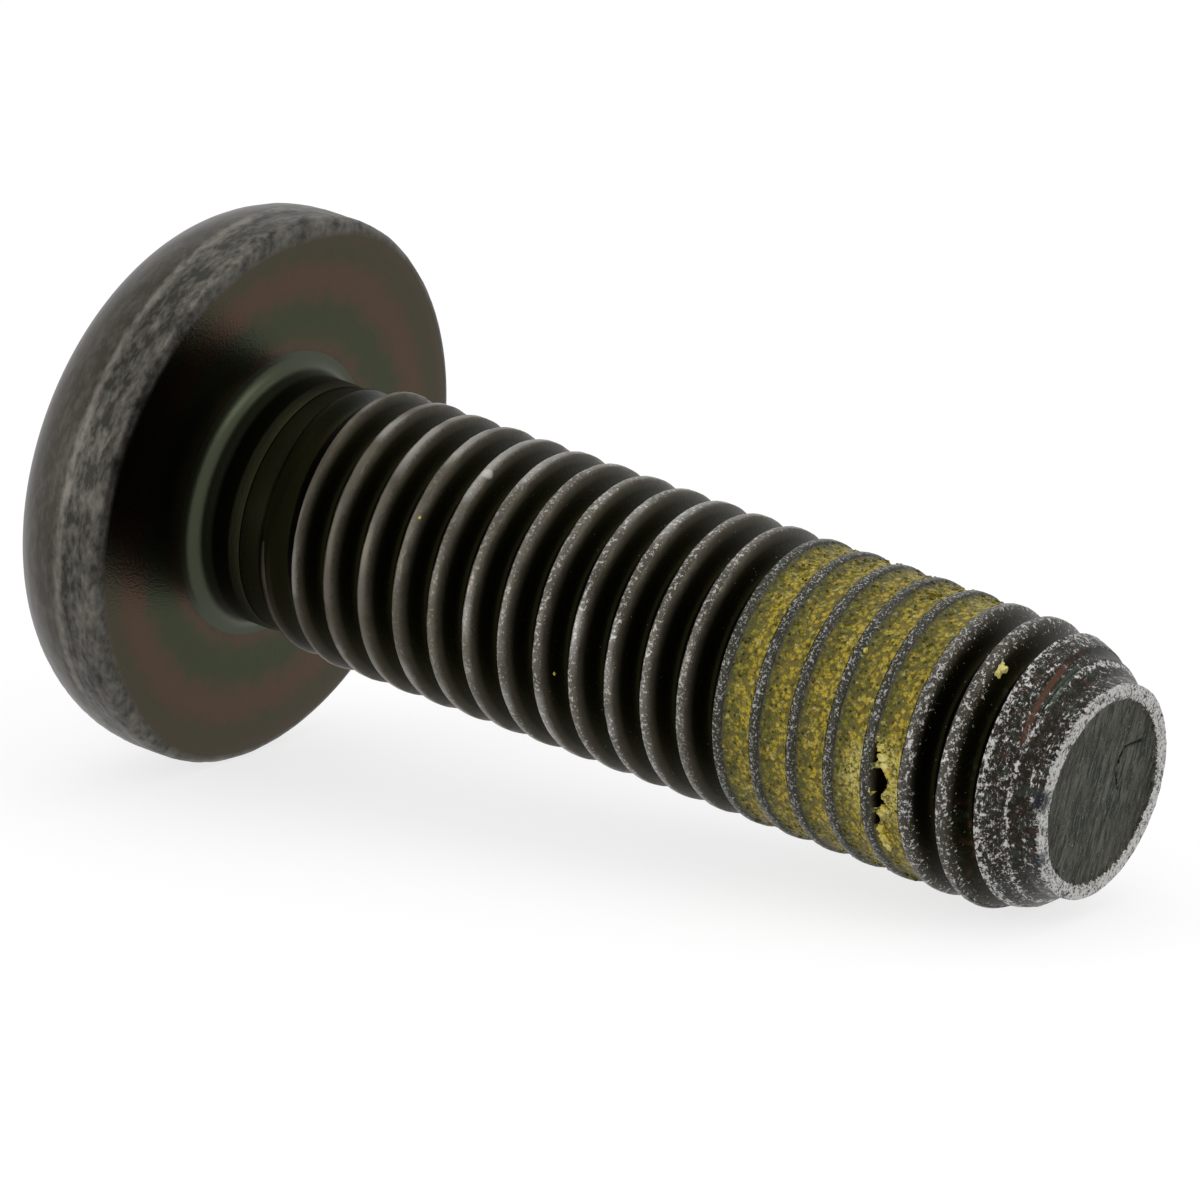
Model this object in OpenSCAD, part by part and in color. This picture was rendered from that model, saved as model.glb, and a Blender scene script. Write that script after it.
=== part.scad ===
// Pan head machine screw with a rolled right-hand thread and a dried locking patch.
// It lies on z = 0 as it comes to rest: on the rim of its head and on its last full
// thread crest, with the tip towards +X. Lengths are in millimetres.

/* [Thread] */
// Diameter over the thread crests
thread_d = 9.8; // [9.6:0.02:10]
// Distance between two crests of the right-hand thread
pitch = 1.5; // [1.42:0.01:1.6]
// Depth from crest to root
thread_depth = 0.82; // [0.7:0.01:0.88]
// Width of the flat on the crest
crest_w = 0.3; // [0.2:0.01:0.34]
// Distance from the bearing face to the crest where the thread starts to rise
thread_start = 2.07; // [1.8:0.01:2.8]
// Turns over which the thread rises to its full height
runout_turns = 1.2; // [0.8:0.1:2]

/* [Shank] */
// Length from the bearing face to the tip
shank_len = 34.9; // [34:0.1:60]
// Diameter of the plain neck between head and thread
neck_d = 9; // [8.8:0.02:9.2]
// Radius of the fillet between neck and bearing face
fillet_r = 0.7; // [0.3:0.05:1]

/* [Tip] */
// Length of the chamfer that takes the first crests down
chamfer_len = 2.25; // [1.5:0.05:2.8]
// Diameter at the small end of that chamfer
chamfer_d = 8.28; // [8:0.02:9]
// Length of the steeper edge between the chamfer and the end face
end_edge_len = 0.6; // [0.3:0.05:0.8]
// Diameter of the flat end face
end_d = 7.4; // [6.8:0.05:7.8]
// Diameter of the shallow dish in the end face
dish_d = 6.5; // [4:0.1:6.6]
// Depth of that dish
dish_depth = 0.08; // [0.04:0.01:0.3]

/* [Head] */
// Diameter of the head
head_d = 19.9; // [17:0.1:22]
// Height of the head from the bearing face to the top of the crown
head_h = 6; // [5.4:0.1:7.5]
// Radius of the edge between the bearing face and the rim
edge_r = 0.35; // [0.2:0.05:0.6]
// Height of the straight band around the rim
rim_h = 1.2; // [0.6:0.05:1.6]
// Radius between the rim and the crown
corner_r = 3.2; // [2:0.1:3.4]

/* [Drive socket] */
// Diameter across the six lobes of the socket
socket_d = 8.9; // [7:0.05:9.2]
// Diameter of the circle inside the six ribs between the lobes
socket_rib_d = 6.4; // [5.9:0.05:6.9]
// Depth of the socket below the top of the crown
socket_depth = 3.6; // [2.5:0.1:3.8]
// Width of the bevel around the mouth of the socket
socket_bevel = 0.25; // [0.1:0.05:0.5]

/* [Locking patch] */
// Distance from the bearing face to the crest where the patch starts
patch_start = 21.9; // [10:0.1:22.4]
// Turns of thread groove that the patch fills
patch_turns = 5; // [2:0.25:5.25]
// How far the middle of the patch lies below the crests
patch_sink = 0.28; // [0.1:0.02:0.6]
// Turns over which each end of the patch thins out
patch_taper = 0.15; // [0.05:0.05:0.5]

/* [Hidden] */

// Straight pieces that make one turn of the thread
TURN_STEPS = 48;
ROUND_STEPS = 96;
// Straight pieces in each arc of the head's and the socket's outlines
EDGE_STEPS = 6;
CORNER_STEPS = 10;
CROWN_STEPS = 8;
LOBE_STEPS = 8;
FLANK_ANGLE = 30;
// Width of the dish's sloping edge as a share of its depth
DISH_SLOPE = 2;
LOBES = 6;
// Radius of each lobe's end as a share of the socket's radius
LOBE_SHARE = 0.174;
// Slope of the cone at the bottom of the socket, and the flat floor left between it and the ribs
SOCKET_POINT_ANGLE = 30;
SOCKET_FLOOR_EDGE = 0.2;
// Share of its full thickness that the patch has at its very ends
PATCH_END_SHARE = 0.2;
// How far the hidden start of the thread lies inside the neck
NECK_COVER = 0.12;
NECK_TAPER_LEN = 0.3;
// How far hidden ends and cutting bodies reach past what they meet
OVERRUN = 0.1;

thread_r = thread_d / 2;
root_r = thread_r - thread_depth;
flank_w = thread_depth * tan(FLANK_ANGLE);
neck_r = neck_d / 2;
neck_end = thread_start - crest_w / 2 + OVERRUN;
chamfer_z = shank_len - end_edge_len - chamfer_len;
head_r = head_d / 2;
corner_z = edge_r + rim_h;
crown_r = (pow(head_r - corner_r, 2) + pow(head_h - corner_z, 2) - pow(corner_r, 2))
    / (2 * (head_h - corner_z - corner_r));
corner_end = atan2(head_r - corner_r, crown_r - head_h + corner_z);
mouth_r = socket_d / 2 + socket_bevel;
// Height of the crown over the bearing face at the edge of the socket's mouth
mouth_h = head_h - crown_r + sqrt(crown_r * crown_r - mouth_r * mouth_r);

// The crest that the screw rests on, and the tilt and height that follow from it
rest_crest = floor((chamfer_z + crest_w / 2 - thread_start) / pitch);
rest_z = min(thread_start + rest_crest * pitch + crest_w / 2, chamfer_z);
rest_drop = head_r - edge_r - thread_r;
rest_reach = rest_z + edge_r;
rest_tilt = atan2(rest_drop, rest_reach) + asin(edge_r / norm([rest_drop, rest_reach]));
rest_h = (head_r - edge_r) * cos(rest_tilt) + edge_r * (1 - sin(rest_tilt));
box_left = -mouth_h * cos(rest_tilt) - mouth_r * sin(rest_tilt);
box_right = shank_len * cos(rest_tilt) + end_d / 2 * sin(rest_tilt);

// Points of an arc, without its first and last ones if skip is 1
function arc(centre, r, from, to, steps, skip = 0) = [
    for (i = [skip:steps - skip])
        let (at = from + (to - from) * i / steps)
        centre + r * [cos(at), sin(at)]
];

// Rows of the thread go up its helix, from a first turn that is hidden in the neck to past the tip
first_crest = thread_start - pitch;
thread_rows = ceil((shank_len + OVERRUN + crest_w / 2 - first_crest) / pitch * TURN_STEPS);

// Share of the full height that the thread has at a row
function risen(row) = min(1, max(0, (row - TURN_STEPS) / (runout_turns * TURN_STEPS)));

// Columns across one pitch: both edges of the crest, then both edges of the root
column_z = [-crest_w / 2, crest_w / 2, crest_w / 2 + flank_w, pitch - crest_w / 2 - flank_w];
column_r = [thread_r, thread_r, root_r, root_r];
columns = len(column_z);
// Radius of the hidden start of the thread
start_r = neck_r - NECK_COVER;

// Point at a row of the helix, a distance z up from the middle of the crest
function helix_point(row, z, r) =
    let (angle = 360 * row / TURN_STEPS)
    [r * cos(angle), r * sin(angle), first_crest + pitch * row / TURN_STEPS + z];

function thread_point(row, column) =
    helix_point(row, column_z[column], start_r + risen(row) * (column_r[column] - start_r));

// Place of a thread point in the list, where the column after the last is the next turn's first
function thread_index(row, column) =
    column == columns ? thread_index(row + TURN_STEPS, 0)
    : row <= thread_rows ? columns * row + column
    : columns * (thread_rows + 1) + row - thread_rows - 1;

// The rolled thread as one closed body that runs past both ends of the threaded length
module thread_body() {
    points = [
        for (row = [0:thread_rows], column = [0:columns - 1]) thread_point(row, column),
        for (row = [thread_rows + 1:thread_rows + TURN_STEPS]) thread_point(row, 0),
        [0, 0, first_crest + pitch / 2],
        [0, 0, first_crest + pitch * (thread_rows / TURN_STEPS + 1 / 2)]
    ];
    low_middle = len(points) - 2;
    high_middle = len(points) - 1;
    sides = [
        for (row = [0:thread_rows - 1], column = [0:columns - 1])
            let (
                a = thread_index(row, column),
                b = thread_index(row + 1, column),
                c = thread_index(row + 1, column + 1),
                d = thread_index(row, column + 1)
            )
            each [[a, d, c], [a, c, b]]
    ];
    low_end = [
        for (row = [0:TURN_STEPS - 1]) [low_middle, thread_index(row, 0), thread_index(row + 1, 0)],
        for (column = [0:columns - 1]) [low_middle, thread_index(0, column + 1), thread_index(0, column)]
    ];
    high_end = [
        for (row = [thread_rows:thread_rows + TURN_STEPS - 1])
            [high_middle, thread_index(row + 1, 0), thread_index(row, 0)],
        for (column = [0:columns - 1])
            [high_middle, thread_index(thread_rows, column), thread_index(thread_rows, column + 1)]
    ];
    polyhedron(points, concat(sides, low_end, high_end));
}

// What the turned-down tip leaves of the thread
module tip_envelope() {
    rotate_extrude($fn = ROUND_STEPS)
        polygon([
            [0, first_crest - pitch],
            [thread_d, first_crest - pitch],
            [thread_d, chamfer_z - thread_r * chamfer_len / (thread_r - chamfer_d / 2)],
            [chamfer_d / 2, shank_len - end_edge_len],
            [end_d / 2, shank_len],
            [dish_d / 2, shank_len],
            [dish_d / 2 - DISH_SLOPE * dish_depth, shank_len - dish_depth],
            [0, shank_len - dish_depth]
        ]);
}

// Neck, underhead fillet, rim and crown in one turned profile
module head_and_neck() {
    rotate_extrude($fn = ROUND_STEPS)
        polygon([
            [0, neck_end],
            [neck_r - NECK_COVER / 2, neck_end],
            [neck_r, neck_end - NECK_TAPER_LEN],
            each arc([neck_r + fillet_r, fillet_r], fillet_r, 180, 270, EDGE_STEPS),
            each arc([head_r - edge_r, -edge_r], edge_r, 90, 0, EDGE_STEPS),
            each arc([head_r - corner_r, -corner_z], corner_r, 0, corner_end - 90, CORNER_STEPS),
            each arc([0, crown_r - head_h], crown_r, corner_end - 90, -90, CROWN_STEPS, 1),
            [0, -head_h]
        ]);
}

// Outline of a socket with six round lobes and six round ribs that run into each other
module socket_outline() {
    lobe_r = LOBE_SHARE * socket_d / 2;
    lobe_at = socket_d / 2 - lobe_r;
    rib_in = socket_rib_d / 2;
    half = 180 / LOBES;
    rib_r = (pow(lobe_r, 2) - pow(lobe_at, 2) - pow(rib_in, 2) + 2 * lobe_at * rib_in * cos(half))
        / (2 * (rib_in - lobe_at * cos(half) - lobe_r));
    rib_at = (rib_in + rib_r) * [cos(half), sin(half)];
    meet = atan2(rib_at.y, rib_at.x - lobe_at);
    polygon([
        for (lobe = [0:LOBES - 1])
            let (turn = 360 * lobe / LOBES)
            each [
                for (p = concat(
                    arc([lobe_at, 0], lobe_r, -meet, meet, LOBE_STEPS),
                    arc(rib_at, rib_r, meet + 180, 2 * half - meet + 180, LOBE_STEPS, 1)
                ))
                    [p.x * cos(turn) - p.y * sin(turn), p.x * sin(turn) + p.y * cos(turn)]
            ]
    ]);
}

module drive_socket() {
    floor_r = socket_rib_d / 2 - SOCKET_FLOOR_EDGE;
    bevel_r = socket_d / 2 - OVERRUN;
    bevel_h = head_h + OVERRUN - mouth_h + mouth_r - bevel_r;
    translate([0, 0, -head_h - OVERRUN]) {
        linear_extrude(socket_depth + OVERRUN) socket_outline();
        cylinder(h = bevel_h, r1 = bevel_r + bevel_h, r2 = bevel_r, $fn = ROUND_STEPS);
    }
    translate([0, 0, socket_depth - head_h - OVERRUN])
        cylinder(
            h = OVERRUN + floor_r * tan(SOCKET_POINT_ANGLE),
            r1 = floor_r + OVERRUN / tan(SOCKET_POINT_ANGLE),
            r2 = 0,
            $fn = ROUND_STEPS
        );
}

// Lays a piece that stands on its own axis down in its resting place
module laid_down() {
    translate([-(box_left + box_right) / 2, 0, rest_h])
        rotate([0, 90 + rest_tilt, 0])
            children();
}

module screw() {
    color([0.13, 0.12, 0.1])
        laid_down()
            difference() {
                union() {
                    intersection() {
                        thread_body();
                        tip_envelope();
                    }
                    head_and_neck();
                }
                drive_socket();
            }
}

// First and last row of the thread that the patch covers
patch_first = round((patch_start - first_crest) / pitch * TURN_STEPS);
patch_last = patch_first + round(patch_turns * TURN_STEPS);

// Share of its full thickness that the patch has at a row
function patch_share(row) =
    min(1, PATCH_END_SHARE + min(row - patch_first, patch_last - row) / TURN_STEPS / patch_taper);

// Section of the patch: up the groove from crest to crest on the thread's own points, then its middle
function patch_section(row) = [
    thread_point(row, 1),
    thread_point(row, 2),
    thread_point(row, 3),
    thread_point(row + TURN_STEPS, 0),
    helix_point(row, pitch / 2, root_r + patch_share(row) * (thread_depth - patch_sink))
];

module locking_patch() {
    corners = len(patch_section(patch_first));
    middle = corners - 1;
    rows = patch_last - patch_first;
    points = [for (row = [patch_first:patch_last]) each patch_section(row)];
    sides = [
        for (row = [0:rows - 1], corner = [0:corners - 1])
            let (
                a = corners * row + corner,
                b = a + corners,
                d = corners * row + (corner + 1) % corners,
                c = d + corners
            )
            each [[a, c, d], [a, b, c]]
    ];
    first_end = [for (corner = [0:middle - 2]) [middle, corner, corner + 1]];
    last_end = [for (corner = [0:middle - 2]) corners * rows * [1, 1, 1] + [middle, corner + 1, corner]];
    color([0.55, 0.5, 0.14])
        laid_down()
            polyhedron(points, concat(sides, first_end, last_end));
}

screw();
locking_patch();
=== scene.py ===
"""Dresses a pan head machine screw that lies on a pale floor: its rolled thread with worn crests,
its head, its chamfered tip and the dried locking patch in its grooves."""

import math

import bmesh
import bpy
from mathutils import Matrix, Vector, noise


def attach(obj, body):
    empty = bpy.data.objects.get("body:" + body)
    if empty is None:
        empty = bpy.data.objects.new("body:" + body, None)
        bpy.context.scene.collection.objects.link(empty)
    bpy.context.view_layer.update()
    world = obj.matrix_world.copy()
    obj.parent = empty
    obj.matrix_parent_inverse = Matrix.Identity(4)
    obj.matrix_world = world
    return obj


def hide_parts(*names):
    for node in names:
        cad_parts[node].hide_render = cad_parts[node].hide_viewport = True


bl_info = {
    "name": "Pan head screw",
    "version": (1, 0, 0),
    "blender": (4, 5, 0),
    "location": "3D View > Sidebar > Screw",
    "description": "Builds a pan head screw with a rolled thread and a dried locking patch",
    "category": "Object",
}

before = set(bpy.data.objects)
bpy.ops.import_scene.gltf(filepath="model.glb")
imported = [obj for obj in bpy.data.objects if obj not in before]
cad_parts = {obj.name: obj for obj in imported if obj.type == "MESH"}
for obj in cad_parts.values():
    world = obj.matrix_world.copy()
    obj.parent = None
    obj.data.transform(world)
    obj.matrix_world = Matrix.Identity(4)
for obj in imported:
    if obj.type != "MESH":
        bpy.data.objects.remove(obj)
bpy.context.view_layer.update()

MM = 0.001
FLANK_ANGLE = math.radians(30)
LOBES = 6
# Radius of each lobe's end as a share of the socket's radius
LOBE_SHARE = 0.174
SOCKET_POINT_ANGLE = math.radians(30)
SOCKET_FLOOR_EDGE = 0.2 * MM
# How far the hidden start of the thread lies inside the neck
NECK_COVER = 0.12 * MM
NECK_TAPER_LEN = 0.3 * MM
OVERRUN = 0.1 * MM
# How far the crown lies inside its arc, so that it stays within the CAD crown's flat facets
CROWN_COVER = 0.01 * MM
# Points around a turned shape, and around each small arc of its outline
ROUND_STEPS = 240
ARC_STEPS = 14
# Lap crack in the end face, as points in millimetres across and up the screw's own frame
CRACK = ((-1.37, 2), (-1.34, 1.03), (-0.67, 0.68), (0.1, 0.97))
# Chips in the end ring and pits in the dish, as points in millimetres with their reach
RING_CHIPS = ((-0.45, -3.75, 0.5), (1.7, -3.3, 0.4))
DISH_PITS = ((0.71, -2.38, 0.13), (2.35, -2.1, 0.2))
# Wear of the tip, in millimetres: its depth and the size of its lumps, on the tip and in the dish
TIP_WEAR, TIP_LUMP = 0.02, 0.35
DISH_WEAR, DISH_LUMP = 0.008, 0.3
# How far the dish's edge wanders, in wide and in narrow waves, and how wide a band goes with it
WIDE_WANDER, WIDE_WAVE = 0.09, 0.9
NARROW_WANDER, NARROW_WAVE = 0.05, 0.25
WANDER_REACH = 0.35
CRACK_DEPTH, CRACK_REACH = 0.05, 0.09
# Dents of the hammered rim: their depth, the sizes of their lumps, and how far they reach round the edge
DENT_DEPTH = 0.035
DENT_LUMP, DENT_FINE_LUMP = 0.9, 0.3
DENT_REACH, DENT_FADE = 0.9, 0.6
# A bright nick in a crest: angle in degrees, height and radius
NICK = (208.7, 10.5, 4.85)
# Where pieces of the patch have broken out: angle in degrees, height, and half of the reach round and along
BREAKS = (
    (263.5, 28.9, 0.3, 0.2),
    (275, 29.15, 0.5, 0.36),
    (284, 29.2, 0.34, 0.26),
    (292.4, 29.1, 0.26, 0.14),
    (185.4, 27.68, 0.3, 0.18),
)
# Crumbs and clumps: angle in degrees, height, radius, and width along and round the screw
CRUMBS = (
    (212.6, 31.76, 4.55, 0.46, 0.52),
    (257.5, 28.9, 4.68, 0.26, 0.26),
    (261, 29.1, 4.7, 0.36, 0.3),
    (264.5, 29.26, 4.72, 0.38, 0.34),
    (268, 29.42, 4.72, 0.36, 0.3),
    (270.5, 29.56, 4.72, 0.26, 0.26),
    (281.5, 29.38, 4.62, 0.2, 0.2),
    (280, 28.86, 4.78, 0.2, 0.34),
    (286, 29.5, 4.74, 0.34, 0.3),
    (289, 29.3, 4.7, 0.24, 0.22),
    (296.5, 29.3, 4.74, 0.34, 0.36),
    (300.5, 29.36, 4.76, 0.44, 0.4),
    (305, 29.4, 4.76, 0.36, 0.4),
    (226.7, 27.2, 4.8, 0.24, 0.22),
    (229, 27.16, 4.8, 0.18, 0.16),
    (282.2, 15.65, 4.42, 0.14, 0.14),
    (237.2, 9.2, 4.86, 0.1, 0.12),
)
# Steps in one turn of the CAD thread
CAD_TURN_STEPS = 48
# Rows of the thread in one turn, columns across one pitch, and those on half a crest and on a flank
TURN_STEPS = 120
COLUMNS = 24
CREST_COLUMNS = 3
FLANK_COLUMNS = 5
# How far the thread's profile is rounded at crest and root, as shares of its depth
CREST_ROUNDING = 0.16
ROOT_ROUNDING = 0.5
# How deep the crests are worn
CREST_WEAR = 0.02 * MM
# Rows of the patch in one turn, and columns around its section
PATCH_TURN_STEPS = 400
PATCH_COLUMNS = 26
# How far the patch's foam reaches into the steel, so that no gap shows
PATCH_COVER = 0.03 * MM
# Capsules on each square millimetre of the patch
CAPSULE_DENSITY = 5.0
# Half the floor's width, and how much of the floor's white glows by itself, straight and mirrored
FLOOR_REACH = 3.0
FLOOR_GLOW = 0.75
FLOOR_MIRRORED = 0.92
SKY_STRENGTH = 1.05
# Lamps: name, place and width in metres, and power in watts
LAMPS = (
    ("top_lamp", (-0.05, 0.1, 0.5), 0.5, 0.4),
    ("left_lamp", (-0.3, -0.4, 0.06), 0.35, 0.45),
    ("right_lamp", (0.4, 0.05, 0.25), 0.3, 0.35),
)
# Points nearer to each other than this are merged, in a geometry tree and in a finished mesh
MERGE_REACH = 1e-6
DOUBLES_REACH = 1e-7
# Edges shorter than this are dissolved
LEAST_EDGE = 1e-8
# Tones of the film on the shank, as linear red, green and blue
BROWN_FILM = (0.03, 0.024, 0.016)
OLIVE_CREST = (0.034, 0.035, 0.026)
DARK_CREST = (0.05, 0.047, 0.038)
# Tones of the worn tip and its end face
LAND_FILM = (0.018, 0.016, 0.012)
LAND_RUBBED = (0.14, 0.135, 0.125)
RING_RUBBED = (0.13, 0.13, 0.125)
BLUE_CHIP = (0.02, 0.024, 0.035)
DARK_FIBRE = (0.017, 0.02, 0.013)
PALE_FIBRE = (0.085, 0.089, 0.07)
BROWN_STAIN = (0.044, 0.034, 0.026)
CRACK_SHADE = (0.002, 0.002, 0.002)
# Tones of the bearing face, the neck, the rim and the crown
GREEN_SHEEN = (0.032, 0.038, 0.018)
ROSE_SHEEN = (0.062, 0.037, 0.022)
BROWN_SHEEN = (0.048, 0.038, 0.023)
# Painted highlight on the green fillet, and painted shade on the neck behind it
FILLET_GREEN_HIGHLIGHT = (0.05, 0.056, 0.036)
NECK_PAINTED_SHADE = (0.004, 0.004, 0.001)
NECK_FILM = (0.024, 0.025, 0.012)
# Painted shade in the first groove
FIRST_GROOVE_PAINTED_SHADE = (0.005, 0.005, 0.002)
RIM_FILM = (0.036, 0.035, 0.03)
RIM_RUBBED = (0.21, 0.195, 0.17)
CROWN_FILM = (0.05, 0.045, 0.037)
CROWN_RUBBED = (0.12, 0.108, 0.092)
# Tones of the dried adhesive
AMBER_FOAM = (0.42, 0.28, 0.025)
OLIVE_FOAM = (0.16, 0.155, 0.02)
# Painted shade in the gaps between the granules and in the pores
GRANULE_PAINTED_SHADE = (0.045, 0.042, 0.005)
GRAIN_PAINTED_SHADE = (0.04, 0.038, 0.008)
PORE_PAINTED_SHADE = (0.014, 0.014, 0.004)
GREY_EDGE = (0.05, 0.05, 0.034)
# Painted shade in the breaks, darker the deeper the foam lies
BREAK_WALL_PAINTED_SHADE = (0.05, 0.048, 0.01)
BREAK_FLOOR_PAINTED_SHADE = (0.008, 0.008, 0.003)


def length(name, description, default_mm):
    """A size that is shown as a length and kept in metres."""
    return bpy.props.FloatProperty(
        name=name,
        description=description,
        default=default_mm * MM,
        subtype="DISTANCE",
        unit="LENGTH",
        precision=5,
    )


def number(name, description, default):
    return bpy.props.FloatProperty(name=name, description=description, default=default)


def slant(name, description, degrees):
    """An angle that is given and shown in degrees and kept in radians."""
    return bpy.props.FloatProperty(
        name=name, description=description, default=math.radians(degrees), subtype="ANGLE"
    )


def colour(name, description, default):
    return bpy.props.FloatVectorProperty(
        name=name, description=description, default=default, subtype="COLOR", size=3, min=0, max=1
    )


class ScrewSizes(bpy.types.PropertyGroup):
    """Sizes of the steel screw."""

    thread_d: length("Thread diameter", "Diameter over the thread crests", 9.8)
    pitch: length("Pitch", "Distance between two crests", 1.5)
    thread_depth: length("Thread depth", "Depth from crest to root", 0.82)
    crest_w: length("Crest width", "Width of the flat on the crest", 0.3)
    thread_start: length("Thread start", "From the bearing face to the crest where the thread starts", 2.07)
    runout_turns: number("Run-out turns", "Turns over which the thread rises to its full height", 1.2)
    shank_len: length("Shank length", "From the bearing face to the tip", 34.9)
    neck_d: length("Neck diameter", "Diameter of the plain neck", 9)
    fillet_r: length("Fillet radius", "Radius between the neck and the bearing face", 0.5)
    chamfer_len: length("Chamfer length", "Length of the chamfer at the tip", 1.35)
    chamfer_d: length("Chamfer diameter", "Diameter at the small end of the chamfer", 8.88)
    shoulder_len: length("Shoulder length", "Length of the steeper shoulder behind the stub", 0.8)
    stub_d: length("Stub diameter", "Diameter of the short stub at the foot of that shoulder", 7.6)
    stub_len: length("Stub length", "Length of the stub", 0.7)
    end_d: length("End diameter", "Diameter of the flat end face", 7.4)
    dish_d: length("Dish diameter", "Diameter of the shallow dish in the end face", 6.5)
    dish_depth: length("Dish depth", "Depth of that dish", 0.08)
    head_d: length("Head diameter", "Diameter of the head", 19.9)
    head_h: length("Head height", "From the bearing face to the top of the crown", 6)
    edge_r: length("Edge radius", "Radius between the bearing face and the rim", 0.35)
    rim_h: length("Rim height", "Height of the straight band around the rim", 1.2)
    corner_r: length("Corner radius", "Radius between the rim and the crown", 3.2)
    socket_d: length("Socket diameter", "Diameter across the lobes of the drive socket", 8.9)
    socket_rib_d: length("Socket rib diameter", "Diameter inside the ribs of the drive socket", 6.4)
    socket_depth: length("Socket depth", "Depth of the drive socket", 3.6)
    socket_bevel: length("Socket bevel", "Width of the bevel around the socket's mouth", 0.25)
    tilt: slant("Tilt", "Angle of the axis below the floor's plane as the screw lies", 8.8663876)
    rest_x: length("Place", "Where the bearing face's centre lies along the floor", -14.450601)
    rest_z: length("Height", "Height of the bearing face's centre over the floor", 9.781339)


class PatchSizes(bpy.types.PropertyGroup):
    """Sizes of the dried locking patch."""

    start: length("Patch start", "From the bearing face to the crest where the patch starts", 21.9)
    turns: number("Patch turns", "Turns of groove that it fills", 5)
    low_side: length("Low side", "Depth below the crest of its side towards the head", 0.08)
    high_side: length("High side", "Depth below the crest of its side towards the tip", 0.04)
    sag: length("Sag", "How far its middle lies below a straight line between its sides", 0.1)
    lump_height: length("Lump height", "Height of the foam's lumps", 0.05)
    capsule_radius: length("Capsule radius", "Radius of the capsules in the foam", 0.075)
    seed: bpy.props.IntProperty(name="Seed", description="Picks another scatter of capsules", default=3)


class Finish(bpy.types.PropertyGroup):
    """Colours of the finishes."""

    coating: colour("Coating", "Dark brown-black film on the steel", (0.042, 0.038, 0.028))
    # Painted shade: a darker coating colour laid into the thread's grooves
    groove_painted_shade: colour("Coating shade", "The same film where it lies thick", (0.008, 0.0075, 0.003))
    satin: colour("Rubbed coating", "Film that is rubbed thin on the crests", (0.21, 0.19, 0.155))
    bare_metal: colour("Worn metal", "Steel where the film is worn off", (0.6, 0.59, 0.57))
    rust: colour("Red tint", "Red-brown tint of the film", (0.1, 0.045, 0.028))
    green: colour("Green tint", "Green tint of the film", (0.042, 0.06, 0.042))
    adhesive: colour("Patch", "Mustard yellow of the dried patch", (0.42, 0.315, 0.02))
    adhesive_shade: colour("Patch shade", "Olive of the patch's thin side", (0.13, 0.118, 0.014))
    adhesive_pale: colour("Pale clumps", "Cream of the clumps and crumbs", (0.52, 0.46, 0.15))
    floor: colour("Floor", "Pale floor", (0.9, 0.9, 0.9))


class StageSettings(bpy.types.PropertyGroup):
    """Camera, lamps and floor."""

    lens: number("Lens", "Focal length in millimetres on a 36 mm frame", 255.72)
    azimuth: slant("Azimuth", "Direction of the camera round the screw, from -Y towards +X", 36.266)
    elevation: slant("Elevation", "Angle of the camera over the floor", 13.584)
    distance: length("Distance", "From the camera to the point that it looks at", 290)
    aim: bpy.props.FloatVectorProperty(
        name="Aim",
        description="Point in the middle of the picture",
        default=(-0.69 * MM, 0.42 * MM, 7.83 * MM),
        subtype="XYZ",
        unit="LENGTH",
    )


def sizes():
    return bpy.context.scene.screw_sizes


def lying(size):
    """Matrix that lays the screw's own frame, with its axis along Z, down in its resting place."""
    place = Matrix.Translation((size.rest_x, 0, size.rest_z))
    return place @ Matrix.Rotation(math.pi / 2 + size.tilt, 4, "Y")


def calculated(tree, operation, *values, clamp=False):
    """A field that a math node works out from those values."""
    made = tree.nodes.new("ShaderNodeMath")
    made.operation = operation
    made.use_clamp = clamp
    for value, target in zip(values, made.inputs):
        plug(tree, value, target)
    return Field(tree, made.outputs[0])


class Field:
    """A number in a node tree that plain arithmetic works on."""

    def __init__(self, tree, socket):
        self.tree = tree
        self.socket = socket

    def math(self, operation, *others):
        return calculated(self.tree, operation, self, *others)

    def __add__(self, other):
        return self.math("ADD", other)

    def __sub__(self, other):
        return self.math("SUBTRACT", other)

    def __mul__(self, other):
        return self.math("MULTIPLY", other)

    def __truediv__(self, other):
        return self.math("DIVIDE", other)

    def __radd__(self, other):
        return self.math("ADD", other)

    def __rsub__(self, other):
        return calculated(self.tree, "SUBTRACT", other, self)

    def __rmul__(self, other):
        return self.math("MULTIPLY", other)

    def __gt__(self, other):
        return self.math("GREATER_THAN", other)

    def __lt__(self, other):
        return self.math("LESS_THAN", other)

    def low(self, other):
        return self.math("MINIMUM", other)

    def high(self, other):
        return self.math("MAXIMUM", other)

    def clamp(self):
        return calculated(self.tree, "ADD", self, 0, clamp=True)

    def ramp(self, start, end, low=0.0, high=1.0, smooth=False):
        """Goes from low to high as this goes from start to end."""
        made = self.tree.nodes.new("ShaderNodeMapRange")
        made.interpolation_type = "SMOOTHSTEP" if smooth else "LINEAR"
        for value, target in zip((self, start, end, low, high), made.inputs):
            plug(self.tree, value, target)
        return Field(self.tree, made.outputs["Result"])

    def within(self, start, end, blur):
        """One between start and end, falling to zero over that blur outside them."""
        return self.ramp(start - blur, start) * self.ramp(end, end + blur, 1, 0)


def plug(tree, value, target):
    """Links a field or a socket to an input, or sets the input to a plain value."""
    if isinstance(value, Field):
        value = value.socket
    if isinstance(value, bpy.types.NodeSocket):
        tree.links.new(value, target)
    else:
        target.default_value = value


def put(tree, kind, inputs=(), **settings):
    """Adds a node with its settings and inputs, and returns it."""
    made = tree.nodes.new(kind)
    for name, value in settings.items():
        setattr(made, name, value)
    for name, value in dict(inputs).items():
        plug(tree, value, made.inputs[name])
    return made


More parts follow.
